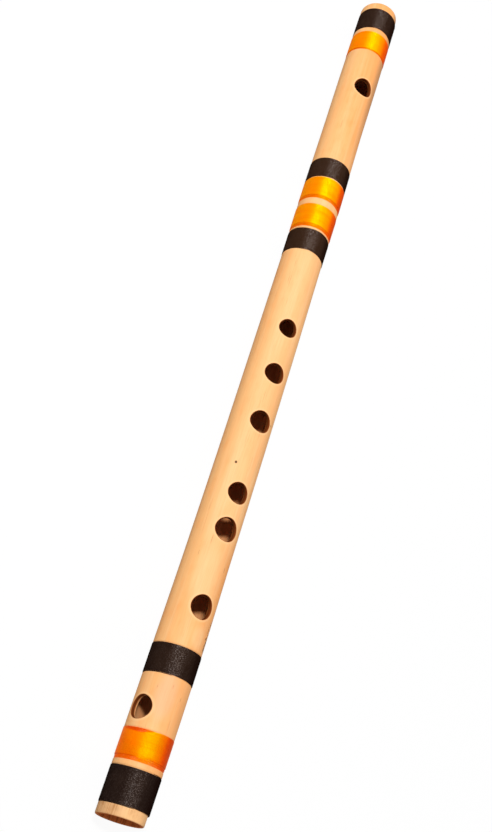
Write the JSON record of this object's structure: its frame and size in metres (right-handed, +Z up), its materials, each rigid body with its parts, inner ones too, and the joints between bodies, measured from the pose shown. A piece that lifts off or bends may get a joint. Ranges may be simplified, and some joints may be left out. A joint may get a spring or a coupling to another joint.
{
  "type": "bansuri",
  "caption": "Side-blown bamboo flute with open finger holes, wound thread bindings and a tuning cork in the head.",
  "frame": {"origin": "on the surface that the flute lies on, below the middle of its length and width", "axes": "+X along the flute towards the head end that has the blow hole, +Z up through the finger holes, +Y to the side that has the tuning hole"},
  "size_m": [0.482, 0.0237, 0.0229],
  "materials": {
    "bamboo": "satin",
    "cork": "matte",
    "black_thread": "matte",
    "orange_thread": "satin"
  },
  "bodies": {
    "flute": {"bamboo_tube": "bamboo", "black_binding_foot": "black_thread", "orange_binding_foot": "orange_thread", "black_binding_lower": "black_thread", "black_binding_middle": "black_thread", "orange_binding_middle": "orange_thread", "orange_binding_upper": "orange_thread", "black_binding_upper": "black_thread", "orange_binding_head": "orange_thread", "black_binding_head": "black_thread"},
    "cork": {"cork_stopper": "cork"}
  },
  "joints": [
    {"name": "cork_slide", "type": "slide", "parent": "flute", "child": "cork", "axis": [1, 0, 0], "range_m": [-0.006, 0.006]}
  ]
}
